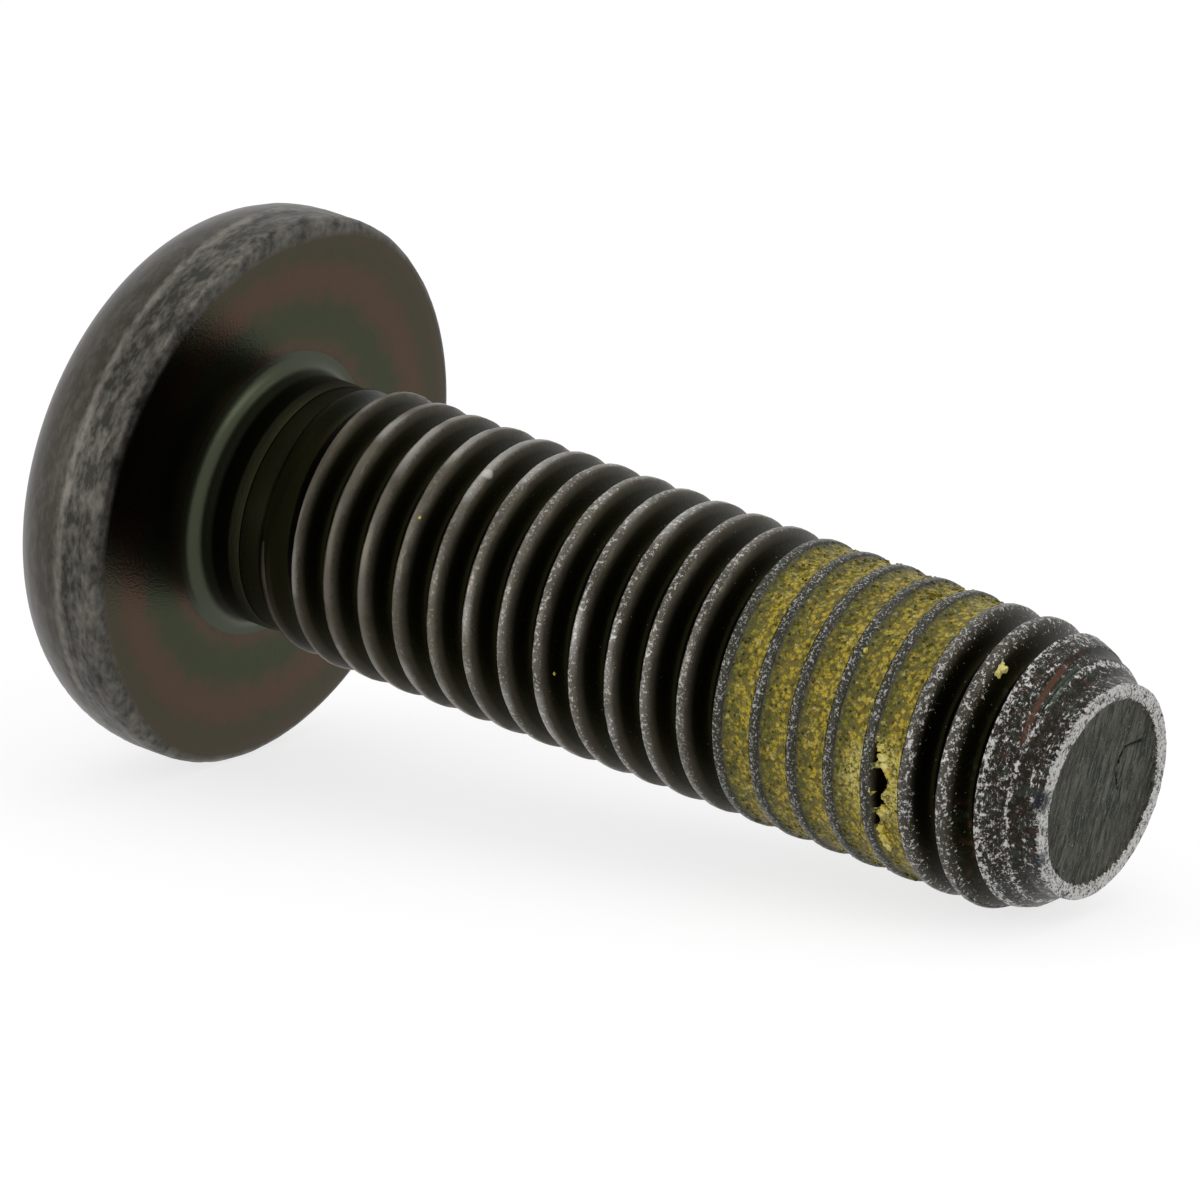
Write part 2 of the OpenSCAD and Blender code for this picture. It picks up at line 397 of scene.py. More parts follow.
def new_geometry_tree(name, values):
    """A geometry tree with those values as its named inputs, and the inputs as fields."""
    tree = bpy.data.node_groups.new(name, "GeometryNodeTree")
    for label, value in values.items():
        kind = "NodeSocketInt" if isinstance(value, int) else "NodeSocketFloat"
        socket = tree.interface.new_socket(name=label, in_out="INPUT", socket_type=kind)
        socket.default_value = value
    tree.interface.new_socket(name="Geometry", in_out="OUTPUT", socket_type="NodeSocketGeometry")
    source = tree.nodes.new("NodeGroupInput")
    return tree, {label: Field(tree, source.outputs[label]) for label in values}


def close_tree(tree, geometry, material):
    """Ends a geometry tree in Realize Instances and Set Material."""
    real = put(tree, "GeometryNodeRealizeInstances", {"Geometry": geometry})
    dressed = put(tree, "GeometryNodeSetMaterial", {"Geometry": real.outputs[0], "Material": material})
    out = tree.nodes.new("NodeGroupOutput")
    tree.links.new(dressed.outputs[0], out.inputs[0])


def separate(tree, vector):
    split = put(tree, "ShaderNodeSeparateXYZ", {"Vector": vector})
    return [Field(tree, out) for out in split.outputs]


def combine(tree, x, y, z):
    return put(tree, "ShaderNodeCombineXYZ", {"X": x, "Y": y, "Z": z}).outputs[0]


def linked(name, data):
    """A new object of that data in the scene."""
    made = bpy.data.objects.new(name, data)
    bpy.context.collection.objects.link(made)
    return made


def as_mesh(name, work):
    """A mesh of what was built in a bmesh, which is freed."""
    mesh = bpy.data.meshes.new(name)
    work.to_mesh(mesh)
    work.free()
    return mesh


def grown(name, tree, values):
    """The plain mesh that a geometry tree makes with those values of its named inputs."""
    seed = linked(name + "_seed", bpy.data.meshes.new(name + "_seed"))
    modifier = seed.modifiers.new("Grown", "NODES")
    modifier.node_group = tree
    for item in tree.interface.items_tree:
        if item.in_out == "INPUT" and item.name in values:
            modifier[item.identifier] = values[item.name]
    mesh = plain_mesh(seed)
    mesh.name = name
    bpy.data.objects.remove(seed)
    return mesh


def plain_mesh(obj):
    """A mesh of what the object's modifiers show."""
    bpy.context.view_layer.update()
    evaluated = obj.evaluated_get(bpy.context.evaluated_depsgraph_get())
    return bpy.data.meshes.new_from_object(evaluated)


def outwards(mesh):
    """Merges doubles and turns every face of a closed mesh outwards."""
    work = bmesh.new()
    work.from_mesh(mesh)
    bmesh.ops.remove_doubles(work, verts=work.verts, dist=DOUBLES_REACH)
    bmesh.ops.dissolve_degenerate(work, edges=work.edges, dist=LEAST_EDGE)
    bmesh.ops.recalc_face_normals(work, faces=work.faces)
    work.to_mesh(mesh)
    work.free()


def finished(name, mesh, material, sharp_angle):
    """Links a finished mesh as a piece that rides on the screw's body, sharp where faces turn by more."""
    mesh.name = name
    mesh.materials.clear()
    mesh.materials.append(material)
    piece = linked(name, mesh)
    mesh.shade_smooth()
    mesh.set_sharp_from_angle(angle=sharp_angle)
    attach(piece, "root")
    return piece


# The screw's own shapes, made with its axis along Z and its bearing face at zero


def helix_grid(tree, given):
    """A grid to wind a profile from, with each point's turn along it and its share across it."""
    grid = put(
        tree,
        "GeometryNodeMeshGrid",
        {
            "Size X": given["Turns"],
            "Size Y": 1.0,
            "Vertices X": given["Turns"] * given["Steps"] + 1,
            "Vertices Y": given["Columns"] + 1,
        },
    )
    x, y, _ = separate(tree, put(tree, "GeometryNodeInputPosition").outputs[0])
    return grid.outputs[0], x + given["Turns"] / 2, y + 0.5


def round_axis(tree, turn, radius, height):
    """The place at that turn around the axis."""
    angle = turn * math.tau
    return combine(tree, radius * angle.math("COSINE"), radius * angle.math("SINE"), height)


def merged(tree, geometry):
    inputs = {"Geometry": geometry, "Distance": MERGE_REACH}
    return put(tree, "GeometryNodeMergeByDistance", inputs).outputs[0]


def thread_tree(values):
    """The rolled thread: a profile across one pitch that goes up a helix, closed at both ends."""
    tree, given = new_geometry_tree("rolled_thread", values)
    pitch, depth, crest_w = given["Pitch"], given["Depth"], given["Crest Width"]
    turns, first = given["Turns"], given["First Crest"]
    grid, turn, share = helix_grid(tree, given)
    # The side goes from 0 on a crest to a half on the root
    side = share.low(1 - share)
    crest_end = CREST_COLUMNS / COLUMNS
    flank_end = crest_end + FLANK_COLUMNS / COLUMNS
    flank_w = depth * math.tan(FLANK_ANGLE)
    along = side.ramp(0, crest_end, 0, crest_w / 2)
    along = along + side.ramp(crest_end, flank_end, 0, flank_w)
    along = along + side.ramp(flank_end, 0.5, 0, pitch / 2 - crest_w / 2 - flank_w)
    fall = (along - crest_w / 2) / flank_w
    fall = fall.math("SMOOTH_MAX", 0, CREST_ROUNDING)
    fall = fall.math("SMOOTH_MIN", 1, ROOT_ROUNDING)
    start_r = given["Start Diameter"] / 2
    risen = ((turn - 1) / given["Run-out Turns"]).clamp()
    radius = start_r + risen * (given["Crest Diameter"] / 2 - depth * fall - start_r)
    lift = along + (share > 0.5) * (pitch - 2 * along)
    height = first + pitch * turn + lift
    rough = texture(tree, round_axis(tree, turn, radius, height), 2600.0, 3.0)
    worn = rough.ramp(0.42, 0.75) * given["Crest Wear"] * fall.ramp(0.0, 0.3, 1, 0)
    place = round_axis(tree, turn, radius - worn * risen, height)
    strip = put(tree, "GeometryNodeSetPosition", {"Geometry": grid, "Position": place})
    neighbours = put(tree, "GeometryNodeInputMeshEdgeNeighbors")
    rim = put(
        tree, "FunctionNodeCompare", {2: neighbours.outputs[0], 3: 1}, data_type="INT", operation="EQUAL"
    )
    caps = put(
        tree,
        "GeometryNodeExtrudeMesh",
        {"Mesh": merged(tree, strip.outputs[0]), "Selection": rim.outputs[0], "Offset Scale": 0.0},
        mode="EDGES",
    )
    # Each end's extruded edge is drawn together to a point on the axis
    _, _, z = separate(tree, put(tree, "GeometryNodeInputPosition").outputs[0])
    is_high = z > first + pitch * turns / 2
    axis_point = combine(tree, 0, 0, first + pitch / 2 + is_high * (pitch * turns))
    closed = put(
        tree,
        "GeometryNodeSetPosition",
        {"Geometry": caps.outputs["Mesh"], "Selection": caps.outputs["Top"], "Position": axis_point},
    )
    return tree, merged(tree, closed.outputs[0])


def arc(centre, radius, start, end, steps, skip=0):
    """Points of an arc as (radius, height), without its first and last if skip is 1."""
    points = []
    for step in range(skip, steps + 1 - skip):
        angle = math.radians(start + (end - start) * step / steps)
        points.append((centre[0] + radius * math.cos(angle), centre[1] + radius * math.sin(angle)))
    return points


def line(start, end, steps):
    """Points after start, up to and with end, along a straight stretch of an outline."""
    return [
        tuple(a + (b - a) * step / steps for a, b in zip(start, end))
        for step in range(1, steps + 1)
    ]


def turned(name, outline, shift=None):
    """A closed body turned from an outline of (radius, height) points that starts and ends on the axis."""
    work = bmesh.new()
    rings = []
    for radius, height in outline:
        if radius == 0:
            rings.append([work.verts.new((0, 0, height))] * ROUND_STEPS)
            continue
        ring = []
        for step in range(ROUND_STEPS):
            angle = math.tau * step / ROUND_STEPS
            place = Vector((radius * math.cos(angle), radius * math.sin(angle), height))
            ring.append(work.verts.new(place if shift is None else shift(place, radius, height)))
        rings.append(ring)
    for low, high in zip(rings, rings[1:]):
        for step in range(ROUND_STEPS):
            after = (step + 1) % ROUND_STEPS
            corners = list(dict.fromkeys((low[step], low[after], high[after], high[step])))
            work.faces.new(corners)
    bmesh.ops.recalc_face_normals(work, faces=work.faces)
    return as_mesh(name, work)


def grain(place, size_mm):
    """Noise from about -1 to 1 with lumps of that size."""
    return noise.fractal(place / (size_mm * MM), 1.0, 2.0, 3)


def chamfer_start(size):
    return size.shank_len - size.stub_len - size.shoulder_len - size.chamfer_len


def tip_envelope(size):
    """What the turned-down tip leaves of the thread, with a chipped edge around its dish."""
    chamfer_z = chamfer_start(size)
    clear_r = size.thread_d / 2 + OVERRUN
    slope = size.chamfer_len / (size.thread_d / 2 - size.chamfer_d / 2)
    low = size.thread_start - 2 * size.pitch
    end_r, dish_r = size.end_d / 2, size.dish_d / 2
    end_z = size.shank_len
    dish_z = end_z - size.dish_depth
    # The stretches that wear shows on have the more rings
    outline = [(0, low), (clear_r, low), (clear_r, chamfer_z - OVERRUN * slope)]
    outline += line(outline[-1], (size.chamfer_d / 2, chamfer_z + size.chamfer_len), 16)
    outline += line(outline[-1], (size.stub_d / 2, end_z - size.stub_len), 12)
    outline += line(outline[-1], (end_r, end_z), 10)
    outline += line(outline[-1], (dish_r, end_z), 6)
    outline += line(outline[-1], (dish_r - 2 * size.dish_depth, dish_z), 2)
    outline += line(outline[-1], (0.1 * MM, dish_z), 24)
    outline.append((0, dish_z))

    def chipped(place, radius, height):
        if height < chamfer_z:
            return place
        flat = Vector((place.x, place.y, 0))
        outward = flat.normalized()
        if radius > end_r + 0.01 * MM:
            return place + outward * TIP_WEAR * (grain(place, TIP_LUMP) - 1) * MM
        # The dish's edge wanders in and out, and the ring and the dish are worn unevenly
        near_edge = max(0, 1 - abs(radius - dish_r + size.dish_depth) / (WANDER_REACH * MM))
        if radius < end_r - 0.05 * MM:
            # A far place gives the wide waves a noise of their own
            elsewhere = flat + Vector((0, 0, 5))
            wander = WIDE_WANDER * grain(elsewhere, WIDE_WAVE) + NARROW_WANDER * grain(flat, NARROW_WAVE)
            flat += outward * near_edge * wander * MM
        if radius > dish_r:
            worn = TIP_WEAR * (grain(place, TIP_LUMP) - 1)
        else:
            worn = DISH_WEAR * (grain(place, DISH_LUMP) - 1)
        dip = CRACK_DEPTH * max(0, 1 - crack_distance(flat) / (CRACK_REACH * MM))
        return Vector((flat.x, flat.y, place.z + (worn - dip) * MM))

    return turned("tip_envelope", outline, shift=chipped)


def crack_distance(flat):
    """Distance from a point of the end face to the nearest stretch of its lap crack."""
    nearest = 1.0
    for start, end in zip(CRACK, CRACK[1:]):
        start, end = Vector((*start, 0)) * MM, Vector((*end, 0)) * MM
        along = (flat - start).dot(end - start) / (end - start).length_squared
        nearest = min(nearest, (flat - start.lerp(end, min(1, max(0, along)))).length)
    return nearest


def crown_radius(size):
    corner_z = size.edge_r + size.rim_h
    head_r = size.head_d / 2
    rise = size.head_h - corner_z
    return ((head_r - size.corner_r) ** 2 + rise**2 - size.corner_r**2) / (2 * (rise - size.corner_r))


def mouth_height(size):
    """Height of the crown over the bearing face at the edge of the socket's mouth."""
    mouth_r = size.socket_d / 2 + size.socket_bevel
    crown_r = crown_radius(size)
    return size.head_h - crown_r + math.sqrt(crown_r**2 - mouth_r**2)


def head_and_neck(size):
    """Neck, underhead fillet, rim and crown in one turned outline, with a hammered rim."""
    head_r, neck_r = size.head_d / 2, size.neck_d / 2
    neck_end = size.thread_start - size.crest_w / 2 + OVERRUN
    corner_z = size.edge_r + size.rim_h
    crown_r = crown_radius(size)
    corner_end = math.degrees(math.atan2(head_r - size.corner_r, crown_r - size.head_h + corner_z))
    outline = [(0, neck_end), (neck_r - NECK_COVER / 2, neck_end), (neck_r, neck_end - NECK_TAPER_LEN)]
    outline += arc((neck_r + size.fillet_r, size.fillet_r), size.fillet_r, 180, 270, ARC_STEPS)
    outline += line(outline[-1], (head_r - size.edge_r, 0), 12)
    outline += arc((head_r - size.edge_r, -size.edge_r), size.edge_r, 90, 0, 6)[1:]
    outline += line(outline[-1], (head_r, -corner_z), 12)
    outline += arc((head_r - size.corner_r, -corner_z), size.corner_r, 0, corner_end - 90, 24)[1:]
    outline += arc((0, crown_r - size.head_h), crown_r, corner_end - 90, -90, 24, 1)[:-1]
    outline.append((0, -size.head_h))

    def hammered(place, radius, height):
        if height < -corner_z:
            place = place + Vector((0, 0, CROWN_COVER))
        band = min(1, max(0, (radius - head_r + DENT_REACH * MM) / (DENT_FADE * MM)))
        if height >= -0.05 * MM or not band:
            return place
        outward = Vector((place.x, place.y, 0)).normalized()
        # Lumps are longer around the rim than across it
        around = Vector((place.x, place.y, place.z * 2.2))
        dip = 0.5 * (grain(around, DENT_LUMP) + 0.6 * grain(around, DENT_FINE_LUMP) - 1.2)
        return place + outward * min(0, dip) * DENT_DEPTH * MM * band

    return turned("head_and_neck", outline, shift=hammered)


def socket_outline(size):
    """Six round lobes and six round ribs that run into each other."""
    lobe_r = LOBE_SHARE * size.socket_d / 2
    lobe_at = size.socket_d / 2 - lobe_r
    rib_in = size.socket_rib_d / 2
    half = math.pi / LOBES
    rib_r = (lobe_r**2 - lobe_at**2 - rib_in**2 + 2 * lobe_at * rib_in * math.cos(half)) / (
        2 * (rib_in - lobe_at * math.cos(half) - lobe_r)
    )
    rib_at = ((rib_in + rib_r) * math.cos(half), (rib_in + rib_r) * math.sin(half))
    meet = math.degrees(math.atan2(rib_at[1], rib_at[0] - lobe_at))
    turn_back = 2 * math.degrees(half) - meet + 180
    unit = arc((lobe_at, 0), lobe_r, -meet, meet, ARC_STEPS)
    unit += arc(rib_at, rib_r, meet + 180, turn_back, ARC_STEPS, 1)
    points = []
    for lobe in range(LOBES):
        spin = Matrix.Rotation(math.tau * lobe / LOBES, 2)
        points += [spin @ Vector(point) for point in unit]
    return points


def prism(name, points, low, high):
    """A closed straight body with that outline."""
    work = bmesh.new()
    bottom = [work.verts.new((x, y, low)) for x, y in points]
    top = [work.verts.new((x, y, high)) for x, y in points]
    work.faces.new(bottom)
    work.faces.new(top)
    for index in range(len(points)):
        after = (index + 1) % len(points)
        work.faces.new((bottom[index], bottom[after], top[after], top[index]))
    bmesh.ops.recalc_face_normals(work, faces=work.faces)
    return as_mesh(name, work)


def socket_bodies(size):
    """The lobed hole, the bevel around its mouth and the cone at its bottom."""
    top = -size.head_h - OVERRUN
    floor_z = size.socket_depth - size.head_h
    floor_r = size.socket_rib_d / 2 - SOCKET_FLOOR_EDGE
    slope = math.tan(SOCKET_POINT_ANGLE)
    mouth_r = size.socket_d / 2 + size.socket_bevel
    bevel_r = size.socket_d / 2 - OVERRUN
    bevel_h = size.head_h + OVERRUN - mouth_height(size) + mouth_r - bevel_r
    hole = prism("socket_hole", socket_outline(size), top, floor_z)
    foot = top + bevel_h
    bevel = turned("socket_bevel", [(0, top), (bevel_r + bevel_h, top), (bevel_r, foot), (0, foot)])
    base = floor_z - OVERRUN
    cone_r = floor_r + OVERRUN / slope
    cone = turned("socket_cone", [(0, base), (cone_r, base), (0, floor_z + floor_r * slope)])
    return hole, bevel, cone


def combined(name, first, steps):
    """The first mesh after a row of exact unions, cuts and intersections with others."""
    base = linked(name, first)
    tools = []
    for operation, mesh in steps:
        tool = linked(mesh.name, mesh)
        tools.append(tool)
        modifier = base.modifiers.new(mesh.name, "BOOLEAN")
        modifier.operation = operation
        modifier.solver = "MANIFOLD"
        modifier.object = tool
    mesh = plain_mesh(base)
    for obj in (base, *tools):
        bpy.data.objects.remove(obj)
    if not mesh.polygons:
        raise RuntimeError(f"{name} came out empty")
    return mesh


def patch_tree(values):
    """The patch: a section across one groove that goes up the helix, with lumps, capsules and breaks."""
    tree, given = new_geometry_tree("locking_patch", values)
    pitch, depth, crest_w = given["Pitch"], given["Depth"], given["Crest Width"]
    turns, low_side, high_side = given["Turns"], given["Low Side"], given["High Side"]
    cover, lump = given["Cover"], given["Lump Height"]
    grid, turn, share = helix_grid(tree, given)
    slope = math.tan(FLANK_ANGLE)
    # Shares of the way round the section where the top, the far wall and the floor end
    top_end, wall_end, floor_end = 0.8, 0.85, 0.95
    left = crest_w / 2 + low_side * slope - cover
    right = pitch - crest_w / 2 - high_side * slope + cover
    floor_left = crest_w / 2 + depth * slope - cover
    floor_right = pitch - floor_left
    along = left + share.ramp(0, top_end, 0, right - left)
    along = along + share.ramp(top_end, wall_end, 0, floor_right - right)
    along = along + share.ramp(wall_end, floor_end, 0, floor_left - floor_right)
    along = along + share.ramp(floor_end, 1, 0, left - floor_left)
    crest_r = given["Crest Diameter"] / 2
    floor_r = crest_r - depth - cover
    top_share = share.ramp(0, top_end)
    on_top = top_share.ramp(0, 0.06) * top_share.ramp(0.94, 1.0, 1, 0)
    radius = crest_r - low_side + share.ramp(0, top_end, 0, low_side - high_side)
    radius = radius + share.ramp(top_end, wall_end, 0, floor_r - crest_r + high_side)
    radius = radius + share.ramp(floor_end, 1, 0, crest_r - low_side - floor_r)
    off_middle = top_share * 2 - 1
    radius = radius - given["Sag"] * (1 - off_middle * off_middle) * on_top
    height = given["Start"] + pitch * turn + along
    wound = turn + given["Start Turn"]
    angle = wound * math.tau
    smooth_place = round_axis(tree, wound, radius, height)
    # Scales of noise are in lumps to a metre here
    swell = texture(tree, smooth_place, 2400.0, 4.0) - 0.5
    pits = cells(tree, smooth_place, 4600.0).ramp(0.0, 0.32, 1, 0)
    radius = radius + on_top * lump * (swell * 2.6 - pits)
    rubble = texture(tree, smooth_place, 3600.0, 3.0) * 0.4 * MM + 0.02 * MM
    broken = 0
    for degrees, middle, reach_round, reach_along in BREAKS:
        away = (angle - math.radians(degrees)).math("COSINE").math("ARCCOSINE") * crest_r
        over = away / (reach_round * MM)
        up = (height - middle * MM) / (reach_along * MM)
        broken = (over * over + up * up + swell * 1.6).ramp(0.8, 1.1, 1, 0).high(broken)
    broken = broken * on_top
    radius = radius + broken * ((floor_r + rubble).low(radius) - radius)
    # The strip thins out at both of its ends
    end_share = (turn.low(turns - turn)).ramp(0, 0.15)
    radius = floor_r + (radius - floor_r) * (0.35 + end_share * 0.65)
    place = round_axis(tree, wound, radius, height)
    strip = put(tree, "GeometryNodeSetPosition", {"Geometry": grid, "Position": place}).outputs[0]
    capsules = capsules_on(tree, given, strip, crest_r - 0.3 * MM)
    both = tree.nodes.new("GeometryNodeJoinGeometry")
    for part in (capsules, merged(tree, strip)):
        tree.links.new(part, both.inputs[0])
    return tree, both.outputs[0]


def capsules_on(tree, given, surface, least_r):
    """Small round capsules half sunk in a surface, of many sizes, at random places beyond a radius."""
    x, y, _ = separate(tree, put(tree, "GeometryNodeInputPosition").outputs[0])
    points = put(
        tree,
        "GeometryNodeDistributePointsOnFaces",
        {
            "Mesh": surface,
            "Selection": x * x + y * y > least_r * least_r,
            "Density": given["Capsule Density"] * (1 / MM**2),
            "Seed": given["Seed"],
        },
    )
    sphere = {"Segments": 8, "Rings": 5, "Radius": given["Capsule Radius"]}
    ball = put(tree, "GeometryNodeMeshUVSphere", sphere)
    scale = put(tree, "FunctionNodeRandomValue", {2: 0.55, 3: 1.2, "Seed": given["Seed"]}, data_type="FLOAT")
    placed = put(
        tree,
        "GeometryNodeInstanceOnPoints",
        {"Points": points.outputs[0], "Instance": ball.outputs[0], "Scale": scale.outputs[1]},
    )
    return put(tree, "GeometryNodeRealizeInstances", {"Geometry": placed.outputs[0]}).outputs[0]


def close_ends(mesh):
    """Fills the open ends of a tube with fans and turns its faces outwards."""
    work = bmesh.new()
    work.from_mesh(mesh)
    rim = [edge for edge in work.edges if len(edge.link_faces) == 1]
    bmesh.ops.holes_fill(work, edges=rim, sides=0)
    bmesh.ops.triangulate(work, faces=[face for face in work.faces if len(face.verts) > 4])
    bmesh.ops.recalc_face_normals(work, faces=work.faces)
    work.to_mesh(mesh)
    work.free()


# Materials


def new_material(name):
    """A material with an empty tree but for its output, and its shader."""
    material = bpy.data.materials.new(name)
    material.use_nodes = True
    tree = material.node_tree
    tree.nodes.clear()
    out = tree.nodes.new("ShaderNodeOutputMaterial")
    shader = tree.nodes.new("ShaderNodeBsdfPrincipled")
    tree.links.new(shader.outputs[0], out.inputs["Surface"])
    return material, tree, shader


def own_frame(tree, size):
    """Place on the screw in millimetres in its own frame, with its axis along Z."""
    place = put(tree, "ShaderNodeTexCoord").outputs["Object"]
    lay = lying(size)
    mapped = put(
        tree,
        "ShaderNodeMapping",
        {"Vector": place, "Location": lay.translation, "Rotation": lay.to_euler()},
        vector_type="TEXTURE",
    )
    in_mm = (1 / MM, 1 / MM, 1 / MM)
    scaled = put(tree, "ShaderNodeVectorMath", {0: mapped.outputs[0], 1: in_mm}, operation="MULTIPLY")
    return scaled.outputs[0]


def texture(tree, vector, scale, detail=4.0, roughness=0.6, distortion=0.0):
    """Soft noise from 0 to 1."""
    inputs = {"Vector": vector, "Scale": scale, "Detail": detail, "Roughness": roughness}
    made = put(tree, "ShaderNodeTexNoise", {**inputs, "Distortion": distortion})
    return Field(tree, made.outputs["Fac"])


def cells(tree, vector, scale):
    """Distance to the nearest of many scattered points."""
    made = put(tree, "ShaderNodeTexVoronoi", {"Vector": vector, "Scale": scale})
    return Field(tree, made.outputs["Distance"])


def stretched(tree, vector, stretch, turn=0.0):
    """The place turned about the axis and then stretched, for streaks and fibres."""
    mapped = put(tree, "ShaderNodeMapping", {"Vector": vector, "Rotation": (0, 0, turn)})
    scaled = put(tree, "ShaderNodeVectorMath", {0: mapped.outputs[0], 1: stretch}, operation="MULTIPLY")
    return scaled.outputs[0]


def blend_colours(tree, share, low, high):
    """A colour between two, which may be plain or sockets."""
    made = tree.nodes.new("ShaderNodeMix")
    made.data_type = "RGBA"
    plug(tree, share, made.inputs["Factor"])
    for value, target in ((low, made.inputs[6]), (high, made.inputs[7])):
        plug(tree, value if isinstance(value, bpy.types.NodeSocket) else (*value, 1.0), target)
    return made.outputs[2]


class Skin:
    """A finish that is painted up in layers on one shader."""

    def __init__(self, name, size, colour):
        self.material, self.tree, self.shader = new_material(name)
        tree = self.tree
        self.place = own_frame(tree, size)
        self.x, self.y, self.z = separate(tree, self.place)
        self.radius = (self.x * self.x + self.y * self.y).math("SQRT")
        # Angle around the axis, in turns from 0 to 1
        self.angle = (self.y.math("ARCTAN2", self.x) / math.tau + 1).math("FRACT")
        pitch = size.pitch / MM
        turn = (self.z - size.thread_start / MM) / pitch - self.angle + 0.5
        # Distance along the axis from the nearest crest's middle, from minus to plus half a pitch
        self.phase = (turn.math("FRACT") - 0.5) * pitch
        # Noises that several layers share, with their scales in lumps to a millimetre
        self.speckle = texture(tree, self.place, 8.0, 2.0, 0.7)
        self.patches = texture(tree, self.place, 1.5, 3.0, 0.55)
        self.fine = texture(tree, self.place, 20.0, 1.0, 0.7)
        self.chips = texture(tree, self.place, 11.0, 2.0, 0.78)
        self.blots = texture(tree, self.place, 5.0, 3.0, 0.75)
        self.colour = colour
        self.roughness = 0.0
        self.relief = 0.0

    def paint(self, share, colour, roughness=None):
        """Lays a colour over that share of the surface, and a roughness if one is given."""
        self.colour = blend_colours(self.tree, share, self.colour, colour)
        if roughness is not None:
            self.roughness = self.roughness + share * (roughness - self.roughness)

    def near_line(self, start, end):
        """Distance in the end face's plane from a straight stretch between two (x, y) points."""
        (ax, ay), (bx, by) = start, end
        length_2 = (bx - ax) ** 2 + (by - ay) ** 2
        along = (((self.x - ax) * (bx - ax) + (self.y - ay) * (by - ay)) / length_2).clamp()
        dx = self.x - ax - along * (bx - ax)
        dy = self.y - ay - along * (by - ay)
        return (dx * dx + dy * dy).math("SQRT")

    def spot(self, place, reach):
        """One at a spot on the surface, falling to zero within its reach in millimetres."""
        away = put(self.tree, "ShaderNodeVectorMath", {0: self.place, 1: place}, operation="DISTANCE")
        return Field(self.tree, away.outputs["Value"]).ramp(reach * 0.6, reach, 1, 0)

    def spots_at(self, height, spots):
        """One at each of those (x, y, reach) spots at that height."""
        share = 0
        for x, y, reach in spots:
            share = self.spot((x, y, height), reach).high(share)
        return share

    def done(self, metallic, bump_mm):
        """Links the layers to the shader."""
        plug(self.tree, self.colour, self.shader.inputs["Base Color"])
        self.shader.inputs["Metallic"].default_value = metallic
        plug(self.tree, self.roughness.clamp(), self.shader.inputs["Roughness"])
        inputs = {"Height": self.relief, "Distance": bump_mm * MM, "Strength": 1.0}
        bump = put(self.tree, "ShaderNodeBump", inputs)
        plug(self.tree, bump.outputs[0], self.shader.inputs["Normal"])
        return self.material


def on_thread(degrees, height, radius):
    """Place on the screw in millimetres at an angle, a height and a radius."""
    angle = math.radians(degrees)
    return (radius * math.cos(angle), radius * math.sin(angle), height)


def wear_crests(skin, size, finish):
    """Paints shade into the grooves, rubs the coating thin along the crests, and breaks it up towards the
    tip.
    """
    z, phase, bare = skin.z, skin.phase, tuple(finish.bare_metal)
    flat = size.crest_w / 2 / MM
    crest_r = size.thread_d / 2 / MM
    chamfer_z = chamfer_start(size) / MM
    patch = bpy.context.scene.screw_patch
    patch_z = patch.start / MM
    patch_end = patch_z + patch.turns * size.pitch / MM
    # Painted shade: the coating is darkened below the crests, down in the grooves
    thread = z.ramp(2.4, 3)
    skin.paint(thread * skin.radius.ramp(crest_r - 0.12, crest_r - 0.34), tuple(finish.groove_painted_shade), 0.34)
    edge = phase + (skin.speckle - 0.5) * 0.12
    band = edge.within(-flat - 0.03, flat - 0.02, 0.08)
    crest = band * skin.radius.ramp(crest_r - 0.2, crest_r - 0.08) * thread
    head_side = phase.ramp(-flat, flat, 1, 0)
    # Satin bands near the head, dull olive-grey ones in the patch, dark ones on the last crests
    satin = z.ramp(4, 10, 0.4, 0.58) * z.ramp(13, 19, 1, 0.55)
    satin = satin * texture(skin.tree, skin.place, 0.55, 1.0, 0.5).ramp(0.4, 0.6, 0.75, 1.35)
    skin.paint((crest * satin * (0.45 + head_side * 0.55)).clamp(), tuple(finish.satin), 0.42)
    skin.paint(crest * z.within(patch_z, patch_end - 0.4, 0.5) * 0.85, OLIVE_CREST, 0.5)
    # Sparkling flecks, few near the head and dense from the patch on
    few = (skin.speckle + head_side * 0.08).ramp(0.58, 0.66) * z.ramp(8, 16, 0, 0.6)
    few = few * z.ramp(patch_z - 0.9, patch_z + 0.1, 1, 0)
    dense = (skin.chips + head_side * 0.05).ramp(0.56, 0.64) * z.ramp(patch_z - 1.4, patch_z + 0.1, 0, 0.5)
    skin.paint((crest * few.high(dense)).clamp(), bare, 0.5)
    # Past the patch the flecks are larger and run on over the flank towards the tip
    past_patch = z.ramp(patch_end - 0.1, patch_end + 0.9) * (z < chamfer_z + 0.3)
    upper = phase.ramp(-flat - 0.08, -flat) * phase.ramp(flat, flat + 0.3, 1, 0)
    rough = skin.chips * 0.4 + skin.blots * 0.6 + upper * 0.1 - 0.1
    skin.paint(crest * past_patch * 0.8, DARK_CREST, 0.45)
    skin.paint(past_patch * (upper > 0) * rough.ramp(0.525, 0.575) * 0.75, bare, 0.5)
    # A few stretches of crest are rubbed harder than the rest
    harder = texture(skin.tree, skin.place, 0.35, 1.0, 0.5).ramp(0.54, 0.64)
    harder = harder * z.ramp(patch_z - 3.9, patch_z - 0.9, 0.35, 0)
    skin.paint((crest * harder * (0.3 + head_side * 0.7)).clamp(), bare, 0.45)
    # Chips of bare metal on the flanks, more of them near the tip
    chip = skin.chips.ramp(0.71, 0.74) * (skin.patches > 0.5) * z.ramp(6, 32, 0, 0.6)
    skin.paint(chip * (z > 2), bare, 0.5)


